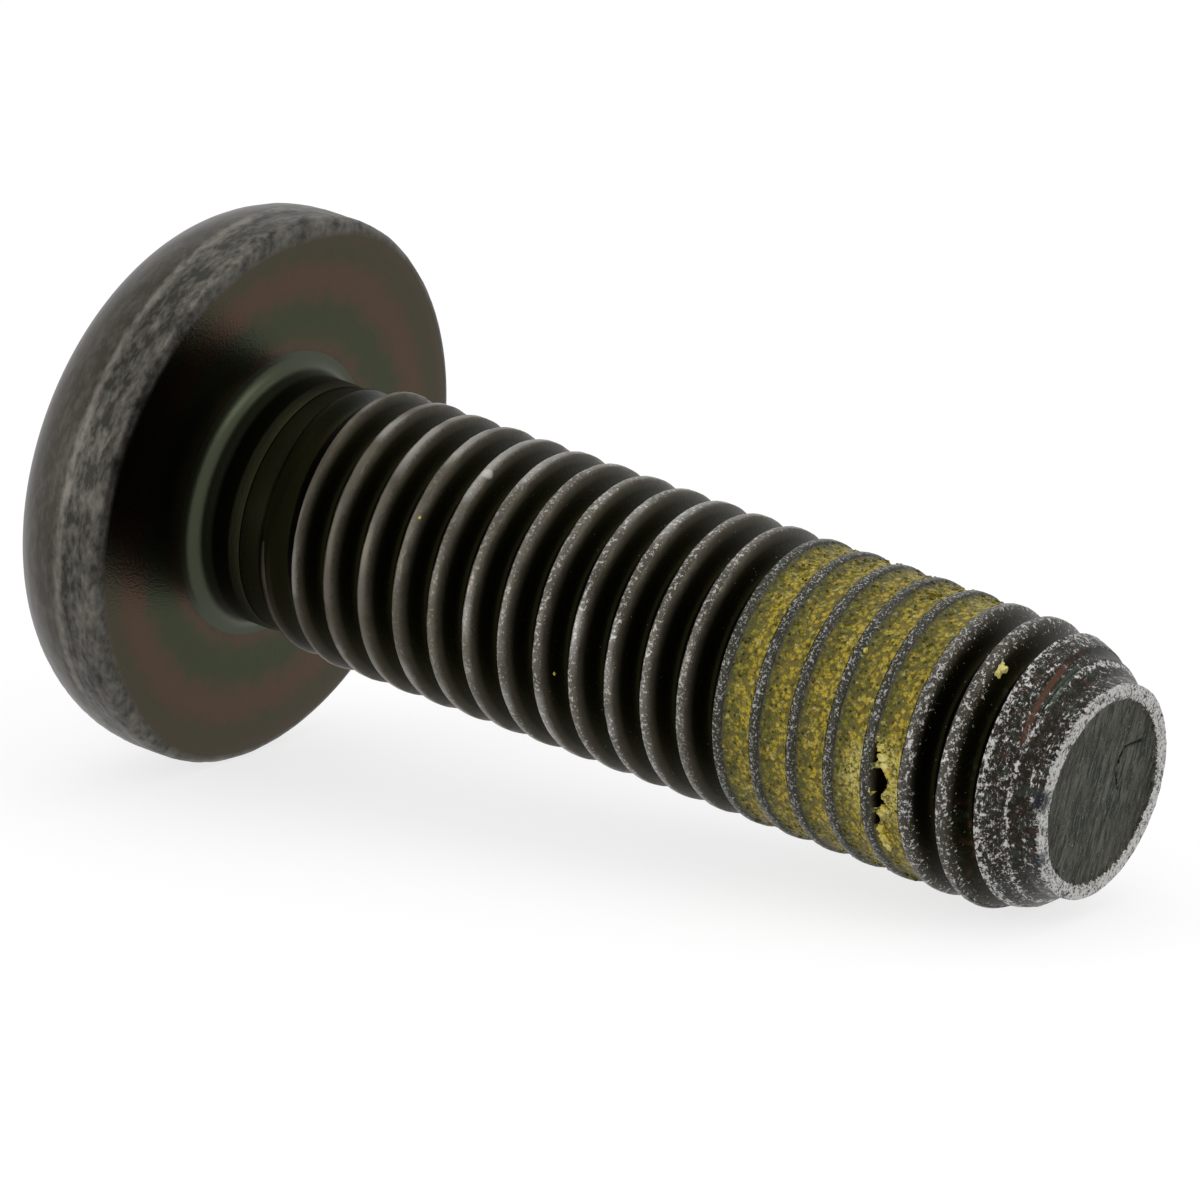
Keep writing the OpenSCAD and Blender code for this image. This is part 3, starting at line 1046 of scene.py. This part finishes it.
def wear_tip(skin, size, finish):
    """Scratches the chamfer's lands bright, whitens the end ring and grains the dark end face."""
    tree, z, radius, chips = skin.tree, skin.z, skin.radius, skin.chips
    bare = tuple(finish.bare_metal)
    chamfer_z = chamfer_start(size) / MM
    crest_r = size.thread_d / 2 / MM
    shoulder_z = chamfer_z + size.chamfer_len / MM
    stub_z = shoulder_z + size.shoulder_len / MM
    end_z = size.shank_len / MM
    dish_r = size.dish_d / 2 / MM
    # What the thread would reach without the chamfer lies outside the lands
    chamfer_r = crest_r - (z - chamfer_z) * ((size.thread_d - size.chamfer_d) / 2 / size.chamfer_len)
    land = (z > chamfer_z - 0.05) * (radius - chamfer_r).ramp(-0.09, -0.04)
    turned_part = land.high(z.ramp(shoulder_z - 0.1, shoulder_z + 0.05))
    skin.paint(turned_part, LAND_FILM, 0.4)
    # Tints of the film on the lands, and a red and a green streak in the last groove
    tints = texture(tree, skin.place, 2.2, 3.0, 0.6)
    past = z.ramp(chamfer_z - 0.2, chamfer_z + 0.6)
    skin.paint(past * tints.ramp(0.56, 0.68) * 0.35, tuple(finish.rust), 0.5)
    skin.paint(past * tints.ramp(0.46, 0.36) * 0.4, tuple(finish.green), 0.5)
    # Worn film with scratches that run round, brighter on the edges and dark at the stub's foot
    streaks = texture(tree, stretched(tree, skin.place, (1, 1, 3.5)), 3.2, 3.0, 0.75, 1.2)
    edge = skin.phase.ramp(-0.22, 0.1, 1, 0) * (z < shoulder_z)
    edge = edge.high(z.within(stub_z - 0.42, stub_z - 0.34, 0.05))
    foot = z.within(stub_z - 0.24, stub_z + 0.02, 0.06)
    worn = streaks * 0.35 + skin.blots * 0.4 + chips * 0.25 + edge * 0.05 - foot * 0.03
    skin.paint(turned_part * worn.ramp(0.46, 0.58) * 0.32, LAND_RUBBED, 0.55)
    scratched = worn.ramp(0.535, 0.575)
    skin.paint(turned_part * scratched * 0.85, bare, 0.55)
    # The streaks climb faster than the thread
    climb = z - (skin.angle - 0.6) * 2.3
    red = skin.angle.within(0.55, 0.65, 0.03) * climb.within(shoulder_z + 0.1, shoulder_z + 0.18, 0.05)
    skin.paint(red * 0.6, tuple(finish.rust), 0.5)
    green = skin.angle.within(0.53, 0.595, 0.02) * climb.within(shoulder_z + 0.3, shoulder_z + 0.5, 0.05)
    skin.paint(green * 0.75, tuple(finish.green), 0.4)
    # The end ring is worn nearly white, with a jagged outline
    ragged = z + (chips - 0.5) * 0.5 + (skin.blots - 0.5) * 0.7
    ring = ragged.ramp(end_z - 0.14, end_z - 0.09) * (radius + (chips - 0.5) * 0.3 > dish_r - 0.05)
    skin.paint(ring, RING_RUBBED, 0.6)
    flecked = skin.blots * 0.5 + chips * 0.5
    skin.paint(ring * flecked.ramp(0.43, 0.52) * 0.85, bare, 0.6)
    chipped = skin.spots_at(end_z, RING_CHIPS)
    skin.paint(chipped * chips.ramp(0.42, 0.5), BLUE_CHIP, 0.4)
    # The end face: dark green-grey with fine fibres that bend across it, and bright grains
    disc = (z > end_z - 0.3) * (radius + (chips - 0.5) * 0.3 < dish_r - 0.07)
    fibre_place = stretched(tree, skin.place, (0.5, 2.2, 1.0), math.radians(11))
    fibres = texture(tree, fibre_place, 2.2, 3.0, 0.75, 0.6)
    face = blend_colours(tree, fibres.ramp(0.42, 0.6), DARK_FIBRE, PALE_FIBRE)
    brown = texture(tree, skin.place, 0.7, 2.0, 0.5).ramp(0.45, 0.6)
    face = blend_colours(tree, brown * 0.3, face, BROWN_STAIN)
    skin.paint(disc, face, 0.5)
    skin.paint(disc * chips.ramp(0.67, 0.71) * 0.55, bare, 0.55)
    crack = skin.near_line(CRACK[0], CRACK[1])
    for start, end in zip(CRACK[1:], CRACK[2:]):
        crack = crack.low(skin.near_line(start, end))
    dark_line = (crack + (skin.blots - 0.5) * 0.35).ramp(0.02, 0.06, 1, 0)
    dark_line = dark_line.high(skin.spots_at(end_z, DISH_PITS))
    skin.paint(disc * dark_line, CRACK_SHADE, 0.6)
    skin.relief = skin.relief + turned_part * (scratched * 1.5 + worn * 3)
    skin.relief = skin.relief + disc * fibres * 7 + ring * flecked * 2


def wear_head(skin, size):
    """Mottles the rim, tints the bearing face in rings, greens the fillet with a painted highlight and
    paints shade on the neck and in the first groove.
    """
    tree, z, radius = skin.tree, skin.z, skin.radius
    head_r = size.head_d / 2 / MM
    edge_r, rim_h = size.edge_r / MM, size.rim_h / MM
    fillet_end = (size.neck_d / 2 + size.fillet_r) / MM
    corner_z = -rim_h - edge_r
    worn_r = head_r - 0.85
    under = (z > -0.06) * (z < 0.12) * radius.ramp(fillet_end, fillet_end + 0.4)
    # Green near 6.3 mm from the axis, rose near 7.8 mm and plain brown outside
    ring = ((radius - 7.05) * 2.1 + (skin.patches - 0.5) * 3).math("SINE")
    tint = blend_colours(tree, ring.ramp(-1, 1, smooth=True), GREEN_SHEEN, ROSE_SHEEN)
    tint = blend_colours(tree, radius.ramp(8.2, 9.2), tint, BROWN_SHEEN)
    skin.paint(under, tint, 0.22)
    # Green film on the fillet, lightened by a painted highlight, painted black shade on the neck behind it
    # and dark film up to the first crest
    near_neck = radius < fillet_end + 0.15
    skin.paint((z > -0.02) * z.ramp(0.7, 0.9, 1, 0) * near_neck, FILLET_GREEN_HIGHLIGHT, 0.34)
    skin.paint(z.within(0.95, 1.55, 0.15) * near_neck, NECK_PAINTED_SHADE, 0.36)
    skin.paint(z.within(1.75, 2.75, 0.12) * near_neck, NECK_FILM, 0.36)
    # Painted shade darkens the first groove beyond the neck
    in_groove = radius < (size.thread_d / 2 + OVERRUN) / MM - 0.3
    skin.paint(z.within(2.95, 3.4, 0.15) * in_groove, FIRST_GROOVE_PAINTED_SHADE, 0.36)
    # Rim: dark band with soft pale mottles, brightest along both of its edges
    band = z.ramp(corner_z - 0.5, corner_z) * (radius > worn_r) * (z < 0.06)
    # On one side the wear runs on over the edge onto the bearing face
    inner_r = worn_r + 0.45 - skin.angle.within(0.5, 0.86, 0.08) * 0.45
    band = band * (radius + z.ramp(-0.2, -0.1, 1, 0)).ramp(inner_r, inner_r + 0.25)
    long_place = stretched(tree, skin.place, (1, 1, 2.4))
    blotches = texture(tree, long_place, 0.9, 1.0, 0.5)
    mottle = texture(tree, long_place, 2.6, 2.0, 0.55)
    corner = z.within(corner_z - 0.02, corner_z + 0.14, 0.16)
    lip = z.ramp(-edge_r - 0.1, -edge_r + 0.15) * radius.ramp(worn_r, worn_r + 0.4)
    rubbed = blotches * 0.45 + mottle * 0.55 + corner * 0.17 + lip * 0.04
    skin.paint(band, RIM_FILM, 0.46)
    skin.paint(band * rubbed.ramp(0.42, 0.78) * 0.8, RIM_RUBBED, 0.5)
    crown = z.ramp(corner_z + 0.05, corner_z - 0.5)
    skin.paint(crown, CROWN_FILM, 0.36)
    skin.paint(crown * (blotches * 0.4 + mottle * 0.6).ramp(0.45, 0.7) * 0.5, CROWN_RUBBED, 0.42)
    skin.relief = skin.relief + band * mottle * 1.6


def coated_steel(size, finish):
    """Dark glossy coating, worn to grey metal on the crests, the rim and the tip."""
    skin = Skin("coated_steel", size, tuple(finish.coating))
    skin.roughness = (skin.fine - 0.5) * 0.16 + 0.33
    skin.relief = skin.speckle * 0.5 + skin.fine * 0.3
    skin.paint(skin.patches.ramp(0.35, 0.65) * 0.5, BROWN_FILM)
    wear_crests(skin, size, finish)
    wear_head(skin, size)
    wear_tip(skin, size, finish)
    nick = skin.spot(on_thread(*NICK), 0.24)
    skin.paint(nick * 0.35, tuple(finish.bare_metal), 0.45)
    return skin.done(1.0, 0.014)


def dried_adhesive(size, finish):
    """Granular yellow foam, olive and finer on its thin side, with pale clumps where it broke."""
    skin = Skin("dried_adhesive", size, tuple(finish.adhesive_shade))
    tree, place = skin.tree, skin.place
    # From 0 at the crest towards the head to 1 at the crest towards the tip
    across = (skin.phase / (size.pitch / MM) + 1).math("FRACT")
    lumps = texture(tree, place, 2.4, 3.0, 0.65)
    fat = (across + (lumps - 0.5) * 0.9 + (skin.speckle - 0.5) * 0.35).ramp(0.2, 0.6, smooth=True)
    skin.paint(fat, tuple(finish.adhesive))
    skin.paint(skin.patches.ramp(0.53, 0.68) * 0.6, AMBER_FOAM)
    skin.paint(skin.patches.ramp(0.46, 0.34) * 0.6, OLIVE_FOAM)
    # Granules with painted shade towards their edges and in the gaps between them, then pale bits, then
    # pores with painted shade in them
    granules = cells(tree, place, 5.0)
    small = cells(tree, place, 11.0)
    skin.paint(granules.ramp(0.34, 0.62) * 0.75, GRANULE_PAINTED_SHADE)
    skin.paint(small.ramp(0.4, 0.7) * 0.55, GRAIN_PAINTED_SHADE)
    pale = (texture(tree, place, 3.1, 3.0, 0.75) + across * 0.03).ramp(0.6, 0.7)
    skin.paint(pale * 0.55, tuple(finish.adhesive_pale))
    pores = cells(tree, place, 4.4)
    pore = pores.ramp(0.14, 0.24, 1, 0) * across.ramp(0.15, 0.9, 1.0, 0.5)
    skin.paint(pore * 0.85, PORE_PAINTED_SHADE)
    # Grey film where the foam runs out against the crest towards the head
    skin.paint((across + (skin.speckle - 0.5) * 0.12).ramp(0.2, 0.14) * 0.8, GREY_EDGE)
    # Pale crumbs round the largest break, and painted shade that darkens the foam the deeper it lies, in the
    # breaks and at the patch's thin ends, where it also stands for thin film over the steel
    degrees, middle = BREAKS[1][:2]
    crumbled = skin.spot(on_thread(degrees, middle, 4.7), 1.7)
    skin.paint(crumbled * skin.speckle.ramp(0.46, 0.54) * 0.7, tuple(finish.adhesive_pale))
    root_r = (size.thread_d / 2 - size.thread_depth) / MM
    skin.paint(skin.radius.ramp(root_r + 0.27, root_r + 0.57, 1, 0) * 0.8, BREAK_WALL_PAINTED_SHADE)
    skin.paint(skin.radius.ramp(root_r + 0.04, root_r + 0.27, 1, 0), BREAK_FLOOR_PAINTED_SHADE)
    skin.roughness = (skin.fine - 0.5) * 0.2 + 0.52
    skin.relief = pores.ramp(0.1, 0.26) * 1.6 + granules.ramp(0.7, 0.1) * 2
    skin.relief = skin.relief + small.ramp(0.6, 0.1) * 0.8
    skin.shader.inputs["Specular IOR Level"].default_value = 0.25
    return skin.done(0.0, 0.04)


def pale_crumb(size, finish):
    """Cream-yellow lumps of the same foam."""
    skin = Skin("pale_crumb", size, tuple(finish.adhesive_pale))
    skin.paint(skin.patches.ramp(0.4, 0.6), tuple(finish.adhesive))
    skin.paint(skin.speckle.ramp(0.55, 0.65) * 0.6, tuple(finish.adhesive_shade))
    skin.roughness = (skin.fine - 0.5) * 0.2 + 0.55
    skin.relief = skin.speckle + skin.fine * 0.5
    return skin.done(0.0, 0.03)


def seen_share(tree, camera, glossy, transmission):
    """How much of a glow shows to rays from the camera, from mirroring surfaces and through glass."""
    rays = put(tree, "ShaderNodeLightPath")
    share = Field(tree, rays.outputs["Is Camera Ray"]) * camera
    share = share.high(Field(tree, rays.outputs["Is Glossy Ray"]) * glossy)
    return share.high(Field(tree, rays.outputs["Is Transmission Ray"]) * transmission)


# Operators


class SCREW_OT_screw(bpy.types.Operator):
    """Build the steel screw: thread, tip, neck, head and drive socket in one piece"""

    bl_idname = "screw.add_screw"
    bl_label = "Screw"

    def execute(self, context):
        size = sizes()
        first = size.thread_start - size.pitch
        values = {
            "Crest Diameter": size.thread_d,
            "Pitch": size.pitch,
            "Depth": size.thread_depth,
            "Crest Width": size.crest_w,
            "First Crest": first,
            "Start Diameter": size.neck_d - 2 * NECK_COVER,
            "Run-out Turns": size.runout_turns,
            "Turns": math.ceil((size.shank_len + OVERRUN - first) / size.pitch),
            "Steps": TURN_STEPS,
            "Columns": COLUMNS,
            "Crest Wear": CREST_WEAR,
        }
        tree, solid = thread_tree(values)
        material = coated_steel(size, context.scene.screw_finish)
        close_tree(tree, solid, material)
        thread = grown("thread", tree, values)
        outwards(thread)
        hole, bevel, cone = socket_bodies(size)
        steps = [
            ("INTERSECT", tip_envelope(size)),
            ("UNION", head_and_neck(size)),
            ("DIFFERENCE", hole),
            ("DIFFERENCE", bevel),
            ("DIFFERENCE", cone),
        ]
        mesh = combined("screw", thread, steps)
        mesh.transform(lying(size))
        piece = finished("screw_detailed", mesh, material, math.radians(32))
        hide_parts("screw")
        return {"FINISHED"}


class SCREW_OT_patch(bpy.types.Operator):
    """Build the dried locking patch in the thread's grooves"""

    bl_idname = "screw.add_patch"
    bl_label = "Locking patch"

    def execute(self, context):
        size = sizes()
        patch = context.scene.screw_patch
        first = size.thread_start - size.pitch
        # The patch starts on one of the CAD thread's own steps
        start_turn = round((patch.start - first) / size.pitch * CAD_TURN_STEPS) / CAD_TURN_STEPS
        values = {
            "Crest Diameter": size.thread_d,
            "Pitch": size.pitch,
            "Depth": size.thread_depth,
            "Crest Width": size.crest_w,
            "Start": first + start_turn * size.pitch,
            "Start Turn": start_turn,
            "Turns": patch.turns,
            "Steps": PATCH_TURN_STEPS,
            "Columns": PATCH_COLUMNS,
            "Low Side": patch.low_side,
            "High Side": patch.high_side,
            "Sag": patch.sag,
            "Lump Height": patch.lump_height,
            "Cover": PATCH_COVER,
            "Capsule Radius": patch.capsule_radius,
            "Capsule Density": CAPSULE_DENSITY,
            "Seed": patch.seed,
        }
        tree, solid = patch_tree(values)
        material = dried_adhesive(size, context.scene.screw_finish)
        close_tree(tree, solid, material)
        mesh = grown("patch", tree, values)
        close_ends(mesh)
        mesh.transform(lying(size))
        piece = finished("locking_patch_foam", mesh, material, math.radians(60))
        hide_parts("locking_patch")
        return {"FINISHED"}


class SCREW_OT_crumbs(bpy.types.Operator):
    """Scatter the pale crumbs and clumps of dried adhesive"""

    bl_idname = "screw.add_crumbs"
    bl_label = "Crumbs"

    def execute(self, context):
        size = sizes()
        work = bmesh.new()
        for index, crumb in enumerate(CRUMBS):
            self.add_crumb(work, index, *crumb)
        mesh = as_mesh("stray_crumbs", work)
        mesh.transform(lying(size))
        material = pale_crumb(size, context.scene.screw_finish)
        finished("stray_crumbs", mesh, material, math.radians(70))
        return {"FINISHED"}

    def add_crumb(self, work, index, degrees, height, radius, across, around):
        """An uneven lump, flattened towards the axis."""
        made = bmesh.ops.create_icosphere(work, subdivisions=3, radius=0.5)
        turn = Matrix.Rotation(math.radians(degrees), 3, "Z")
        middle = Vector(on_thread(degrees, height, radius))
        thick = min(across, around) * 0.7
        for vert in made["verts"]:
            lump = 1 + 0.5 * noise.fractal(vert.co * 3 + Vector((7.0 * index, 0, 0)), 0.8, 2.0, 4)
            local = Vector((vert.co.x * thick, vert.co.y * around, vert.co.z * across)) * lump
            vert.co = (middle + turn @ local) * MM


class SCREW_OT_stage(bpy.types.Operator):
    """Set up the floor, the lamps and the camera"""

    bl_idname = "screw.add_stage"
    bl_label = "Stage"

    def execute(self, context):
        scene = context.scene
        stage = scene.screw_stage
        scene.view_settings.view_transform = "Standard"
        self.add_floor(scene.screw_finish)
        self.add_world(scene)
        self.add_lamps()
        self.add_camera(scene, stage)
        return {"FINISHED"}

    def add_floor(self, finish):
        work = bmesh.new()
        bmesh.ops.create_grid(work, x_segments=1, y_segments=1, size=FLOOR_REACH)
        floor = linked("floor", as_mesh("floor", work))
        material, tree, shader = new_material("pale_floor")
        shader.inputs["Base Color"].default_value = (*finish.floor, 1)
        shader.inputs["Roughness"].default_value = 0.9
        shader.inputs["Specular IOR Level"].default_value = 0.1
        glow = put(tree, "ShaderNodeEmission", {"Color": (1, 1, 1, 1), "Strength": 1.0})
        seen = seen_share(tree, FLOOR_GLOW, FLOOR_MIRRORED, FLOOR_GLOW)
        mixed = put(tree, "ShaderNodeMixShader", {0: seen, 1: shader.outputs[0], 2: glow.outputs[0]})
        out = next(n for n in tree.nodes if n.type == "OUTPUT_MATERIAL")
        tree.links.new(mixed.outputs[0], out.inputs["Surface"])
        floor.data.materials.append(material)

    def add_world(self, scene):
        world = bpy.data.worlds.new("soft_white")
        world.use_nodes = True
        scene.world = world
        tree = world.node_tree
        tree.nodes.clear()
        seen = seen_share(tree, 1, 1, 1)
        sky = put(tree, "ShaderNodeBackground", {"Color": (1, 1, 1, 1), "Strength": SKY_STRENGTH})
        white = put(tree, "ShaderNodeBackground", {"Color": (1, 1, 1, 1), "Strength": 1.0})
        mixed = put(tree, "ShaderNodeMixShader", {0: seen, 1: sky.outputs[0], 2: white.outputs[0]})
        out = tree.nodes.new("ShaderNodeOutputWorld")
        tree.links.new(mixed.outputs[0], out.inputs["Surface"])

    def add_lamps(self):
        for name, place, width, power in LAMPS:
            lamp = bpy.data.lights.new(name, "AREA")
            lamp.shape = "DISK"
            lamp.size = width
            lamp.energy = power
            holder = linked(name, lamp)
            holder.location = place
            holder.rotation_euler = (-Vector(place)).to_track_quat("-Z", "Y").to_euler()

    def add_camera(self, scene, stage):
        camera = bpy.data.cameras.new("camera")
        camera.lens = stage.lens
        camera.sensor_width = 36
        camera.clip_start = 0.01
        holder = linked("camera", camera)
        level = math.cos(stage.elevation)
        across, back = math.sin(stage.azimuth) * level, -math.cos(stage.azimuth) * level
        away = Vector((across, back, math.sin(stage.elevation)))
        holder.location = Vector(stage.aim) + away * stage.distance
        holder.rotation_euler = (-away).to_track_quat("-Z", "Y").to_euler()
        scene.camera = holder


class SCREW_PT_panel(bpy.types.Panel):
    """Lists the builders"""

    bl_idname = "SCREW_PT_panel"
    bl_label = "Pan head screw"
    bl_space_type = "VIEW_3D"
    bl_region_type = "UI"
    bl_category = "Screw"

    def draw(self, context):
        for operator in OPERATORS:
            self.layout.operator(operator.bl_idname)


OPERATORS = (SCREW_OT_screw, SCREW_OT_patch, SCREW_OT_crumbs, SCREW_OT_stage)
GROUPS = {
    "screw_sizes": ScrewSizes,
    "screw_patch": PatchSizes,
    "screw_finish": Finish,
    "screw_stage": StageSettings,
}


def register():
    for name, group in GROUPS.items():
        bpy.utils.register_class(group)
        setattr(bpy.types.Scene, name, bpy.props.PointerProperty(type=group))
    for operator in OPERATORS:
        bpy.utils.register_class(operator)
    bpy.utils.register_class(SCREW_PT_panel)


def unregister():
    bpy.utils.unregister_class(SCREW_PT_panel)
    for operator in reversed(OPERATORS):
        bpy.utils.unregister_class(operator)
    for name, group in reversed(GROUPS.items()):
        delattr(bpy.types.Scene, name)
        bpy.utils.unregister_class(group)


def main():
    register()
    bpy.ops.screw.add_screw()
    bpy.ops.screw.add_patch()
    bpy.ops.screw.add_crumbs()
    bpy.ops.screw.add_stage()


if __name__ == "__main__":
    main()
